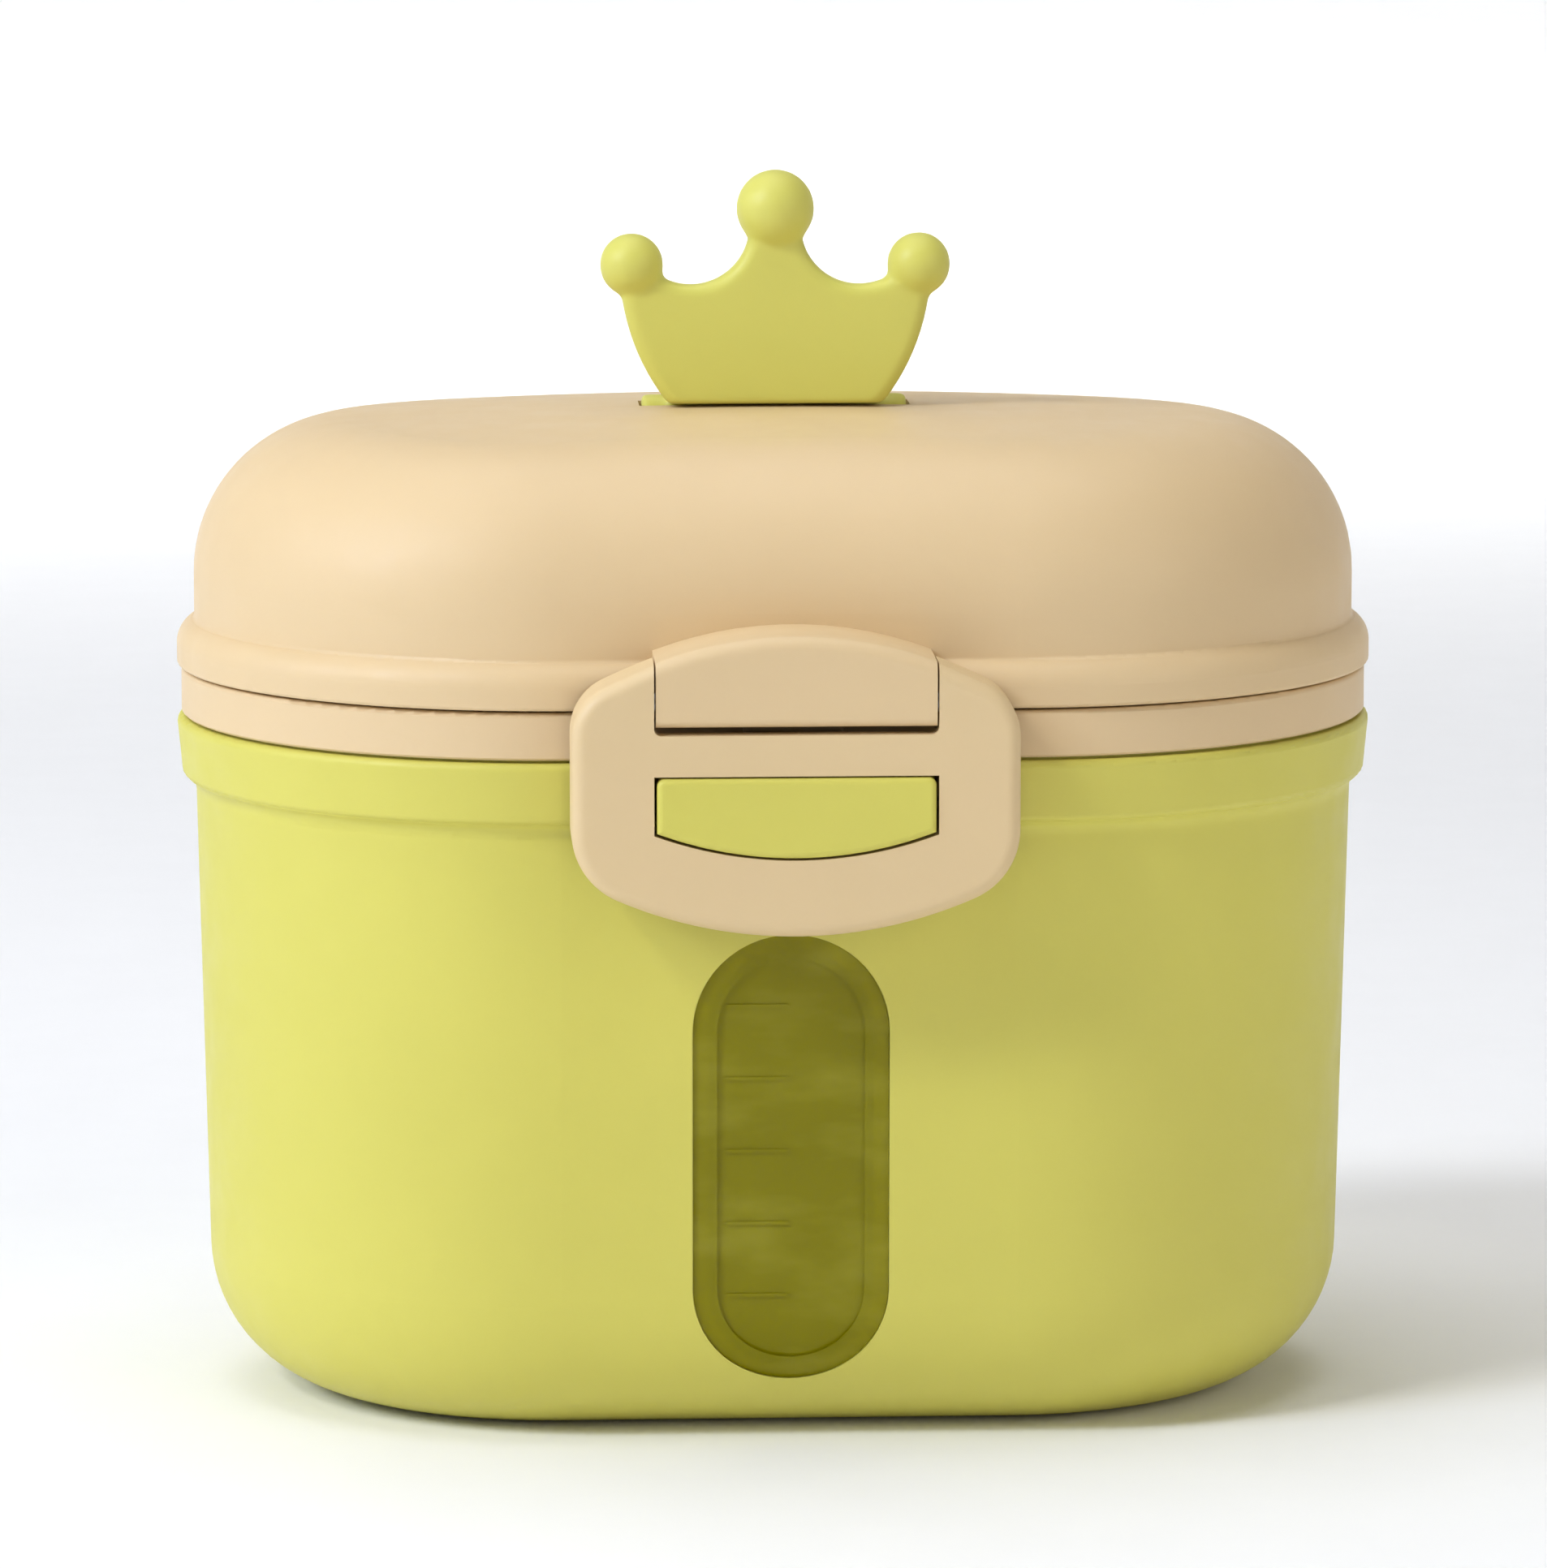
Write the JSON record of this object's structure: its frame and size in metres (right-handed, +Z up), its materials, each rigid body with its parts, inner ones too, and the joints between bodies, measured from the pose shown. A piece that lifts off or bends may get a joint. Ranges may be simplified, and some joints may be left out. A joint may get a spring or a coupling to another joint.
{
  "type": "formula dispenser",
  "caption": "Stadium-shaped powder tub with a clear level window, hinged inner cover holding a scoop, domed lid with folding crown, and a pivoting buckle latch.",
  "frame": {"origin": "middle of the flat bottom, where the tub stands", "axes": "+X along the length, -Y towards the front with the latch and window, +Z up"},
  "size_m": [0.1398, 0.1053, 0.1433],
  "materials": {
    "tub_green": "satin",
    "lid_cream": "satin",
    "latch_cream": "satin",
    "crown_green": "satin",
    "window_clear": "smooth",
    "liner_cream": "satin",
    "cover_cream": "satin",
    "leveller_cream": "satin",
    "well_frosted": "frosted",
    "scoop_frosted": "frosted",
    "seal_silicone": "matt",
    "pin_steel": "drawn"
  },
  "bodies": {
    "tub": {"tub": "tub_green", "window_lens": "window_clear", "leveller": "leveller_cream", "hinge_pin": "pin_steel"},
    "inner_cover": {"inner_cover": "cover_cream", "scoop_well": "well_frosted", "cover_seal": "seal_silicone"},
    "scoop": {"scoop": "scoop_frosted"},
    "lid": {"outer_lid": "lid_cream", "lid_liner": "liner_cream", "latch_pin": "pin_steel", "crown_pin": "pin_steel"},
    "latch": {"latch": "latch_cream"},
    "crown": {"crown": "crown_green"}
  },
  "joints": [
    {"name": "lid_hinge", "type": "hinge", "parent": "tub", "child": "lid", "pos_m": [0, 0.0482, 0.084], "axis": [-1, 0, 0], "range_deg": [0, 130]},
    {"name": "cover_hinge", "type": "hinge", "parent": "tub", "child": "inner_cover", "pos_m": [0, 0.0482, 0.084], "axis": [-1, 0, 0], "range_deg": [0, 56]},
    {"name": "scoop_lift", "type": "slide", "parent": "inner_cover", "child": "scoop", "axis": [0, 0, 1], "range_m": [0, 0.018]},
    {"name": "latch_hinge", "type": "hinge", "parent": "lid", "child": "latch", "pos_m": [0, -0.051, 0.0875], "axis": [-1, 0, 0], "range_deg": [0, 100]},
    {"name": "crown_fold", "type": "hinge", "parent": "lid", "child": "crown", "pos_m": [0, 0, 0.1141], "axis": [-1, 0, 0], "range_deg": [0, 86]}
  ],
  "couplings": [
    {"joint": "cover_hinge", "follows": "lid_hinge", "ratio": 0.42}
  ]
}
